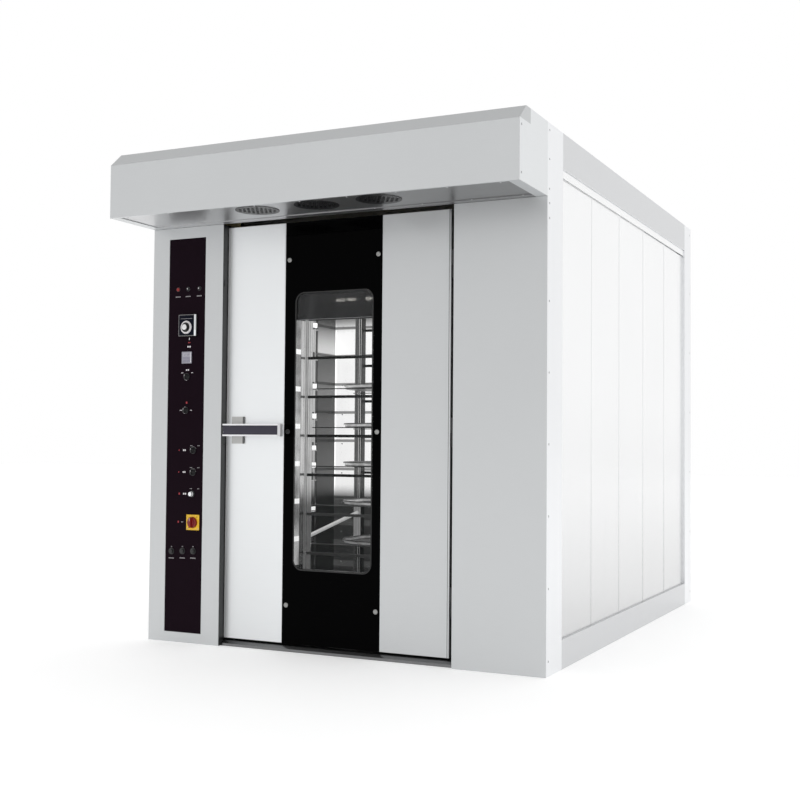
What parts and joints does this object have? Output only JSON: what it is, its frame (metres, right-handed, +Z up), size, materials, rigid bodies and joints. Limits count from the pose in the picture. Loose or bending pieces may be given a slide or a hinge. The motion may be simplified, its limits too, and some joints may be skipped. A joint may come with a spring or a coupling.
{
  "type": "rotating rack oven",
  "caption": "Tall rack oven with a canopy hood, a dark control column, a hinged door with a tall window, and a rack of round-ended trays that turns inside.",
  "frame": {"origin": "bottom centre of the whole oven's box, on the floor", "axes": "+X to the right seen from the front, +Y from the hood and door towards the rear, +Z up"},
  "size_m": [1.93, 2.928, 2.2],
  "materials": {
    "frame_sheet": "satin",
    "panel_steel": "polished",
    "front_sheet": "satin",
    "polished_steel": "polished",
    "chamber_steel": "satin",
    "rack_steel": "satin",
    "heat_steel": "heat-tinted",
    "mineral_wool": "fibrous",
    "fascia": "gloss",
    "black_plastic": "satin",
    "grey_plastic": "satin",
    "yellow_plastic": "satin",
    "red_plastic": "gloss",
    "dial_metal": "satin",
    "chrome": "mirror",
    "black_glass": "gloss",
    "clear_glass": "gloss",
    "gasket_rubber": "matt",
    "wheel_plastic": "matt",
    "machine_paint": "gloss",
    "machine_iron": "cast",
    "grille_black": "matt",
    "brass_fitting": "satin",
    "lamp_cover": "frosted"
  },
  "bodies": {
    "oven": {"body_frame": "frame_sheet", "side_panels": "panel_steel", "rear_service_panels": "frame_sheet", "insulation": "mineral_wool", "chamber_liner": "chamber_steel", "air_duct_panels": "chamber_steel", "door_surround": "chamber_steel", "right_cover": "front_sheet", "control_column": "front_sheet", "control_fascia": "fascia", "switch_bodies": "black_plastic", "indicator_lamps": "red_plastic", "temperature_controller": "black_plastic", "timer_display": "grey_plastic", "isolator_plate": "yellow_plastic", "hood_shell": "front_sheet", "hood_underside": "polished_steel", "vent_grilles": "grille_black", "hood_fan_housing": "panel_steel", "fan_motors": "machine_iron", "gearmotor": "machine_paint", "door_fittings": "polished_steel", "interior_lamp": "lamp_cover", "heat_exchanger": "heat_steel", "burner": "machine_iron", "steam_generator": "heat_steel", "flue_pipe": "panel_steel", "service_connections": "brass_fitting"},
    "door": {"door_core": "polished_steel", "door_skins": "front_sheet", "door_glass": "black_glass", "window_panes": "clear_glass", "door_gasket": "gasket_rubber", "door_insulation": "mineral_wool", "hinge_leaves": "polished_steel", "handle_rosette": "chrome", "glass_screws": "chrome"},
    "handle": {"handle_bar": "chrome"},
    "thermostat_dial": {"dial_knob": "dial_metal"},
    "selector_knob_1": {"selector_1": "black_plastic"},
    "selector_knob_2": {"selector_2": "black_plastic"},
    "selector_knob_3": {"selector_3": "black_plastic"},
    "selector_knob_4": {"selector_4": "black_plastic"},
    "key_knob": {"key_switch": "chrome"},
    "isolator": {"isolator_knob": "red_plastic"},
    "button_1": {"push_button_1": "black_plastic"},
    "button_2": {"push_button_2": "black_plastic"},
    "button_3": {"push_button_3": "black_plastic"},
    "circulation_fan": {"circulation_impeller": "heat_steel"},
    "hood_fan": {"hood_fan_impeller": "black_plastic"},
    "damper": {"flue_damper": "chamber_steel"},
    "rack": {"drive_shaft": "heat_steel", "rack_frame": "rack_steel", "baking_trays": "rack_steel"},
    "fork_1": {"castor_fork_1": "rack_steel"},
    "fork_2": {"castor_fork_2": "rack_steel"},
    "wheel_1": {"castor_wheel_1": "wheel_plastic"},
    "wheel_2": {"castor_wheel_2": "wheel_plastic"},
    "wheel_3": {"castor_wheel_3": "wheel_plastic"},
    "wheel_4": {"castor_wheel_4": "wheel_plastic"}
  },
  "joints": [
    {"name": "door_hinge", "type": "hinge", "parent": "oven", "child": "door", "pos_m": [0.547, -1.106, 0.962], "axis": [0, 0, 1], "range_deg": [0, 100]},
    {"name": "handle_turn", "type": "hinge", "parent": "door", "child": "handle", "pos_m": [-0.508, -1.146, 0.968], "axis": [0, 1, 0], "range_deg": [0, 90]},
    {"name": "dial_turn", "type": "hinge", "parent": "oven", "child": "thermostat_dial", "pos_m": [-0.772, -1.146, 1.439], "axis": [0, 1, 0], "range_deg": [-140, 140]},
    {"name": "selector_turn_1", "type": "hinge", "parent": "oven", "child": "selector_knob_1", "pos_m": [-0.77, -1.146, 1.212], "axis": [0, 1, 0], "range_deg": [-60, 60]},
    {"name": "selector_turn_2", "type": "hinge", "parent": "oven", "child": "selector_knob_2", "pos_m": [-0.774, -1.146, 1.058], "axis": [0, 1, 0], "range_deg": [-45, 45]},
    {"name": "selector_turn_3", "type": "hinge", "parent": "oven", "child": "selector_knob_3", "pos_m": [-0.729, -1.146, 0.875], "axis": [0, 1, 0], "range_deg": [-45, 45]},
    {"name": "selector_turn_4", "type": "hinge", "parent": "oven", "child": "selector_knob_4", "pos_m": [-0.729, -1.146, 0.775], "axis": [0, 1, 0], "range_deg": [-45, 45]},
    {"name": "key_turn", "type": "hinge", "parent": "oven", "child": "key_knob", "pos_m": [-0.732, -1.146, 0.676], "axis": [0, 1, 0], "range_deg": [0, 90]},
    {"name": "isolator_turn", "type": "hinge", "parent": "oven", "child": "isolator", "pos_m": [-0.725, -1.146, 0.547], "axis": [0, 1, 0], "range_deg": [-90, 0]},
    {"name": "button_push_1", "type": "slide", "parent": "oven", "child": "button_1", "axis": [0, 1, 0], "range_m": [0, 0.004], "stiffness_N_per_m": 300, "springref_m": -0.001},
    {"name": "button_push_2", "type": "slide", "parent": "oven", "child": "button_2", "axis": [0, 1, 0], "range_m": [0, 0.004], "stiffness_N_per_m": 300, "springref_m": -0.001},
    {"name": "button_push_3", "type": "slide", "parent": "oven", "child": "button_3", "axis": [0, 1, 0], "range_m": [0, 0.004], "stiffness_N_per_m": 300, "springref_m": -0.001},
    {"name": "circulation_fan_spin", "type": "hinge", "parent": "oven", "child": "circulation_fan", "pos_m": [-0.3205, 0.494, 1.7], "axis": [0, 0, 1], "continuous": true},
    {"name": "hood_fan_spin", "type": "hinge", "parent": "oven", "child": "hood_fan", "pos_m": [0.631, -1.206, 2.115], "axis": [0, 1, 0], "continuous": true},
    {"name": "damper_turn", "type": "hinge", "parent": "oven", "child": "damper", "pos_m": [0.1695, 0.706, 2.12], "axis": [1, 0, 0], "range_deg": [0, 90]},
    {"name": "rack_turn", "type": "hinge", "parent": "oven", "child": "rack", "pos_m": [-0.0205, -0.476, 1.8], "axis": [0, 0, 1], "continuous": true},
    {"name": "castor_swivel_1", "type": "hinge", "parent": "rack", "child": "fork_1", "pos_m": [0.2995, -0.72, 0.141], "axis": [0, 0, 1], "continuous": true},
    {"name": "castor_swivel_2", "type": "hinge", "parent": "rack", "child": "fork_2", "pos_m": [0.2995, -0.232, 0.141], "axis": [0, 0, 1], "continuous": true},
    {"name": "wheel_roll_1", "type": "hinge", "parent": "fork_1", "child": "wheel_1", "pos_m": [0.3215, -0.72, 0.09], "axis": [0, 1, 0], "continuous": true},
    {"name": "wheel_roll_2", "type": "hinge", "parent": "fork_2", "child": "wheel_2", "pos_m": [0.3215, -0.232, 0.09], "axis": [0, 1, 0], "continuous": true},
    {"name": "wheel_roll_3", "type": "hinge", "parent": "rack", "child": "wheel_3", "pos_m": [-0.3625, -0.72, 0.09], "axis": [0, 1, 0], "continuous": true},
    {"name": "wheel_roll_4", "type": "hinge", "parent": "rack", "child": "wheel_4", "pos_m": [-0.3625, -0.232, 0.09], "axis": [0, 1, 0], "continuous": true}
  ]
}
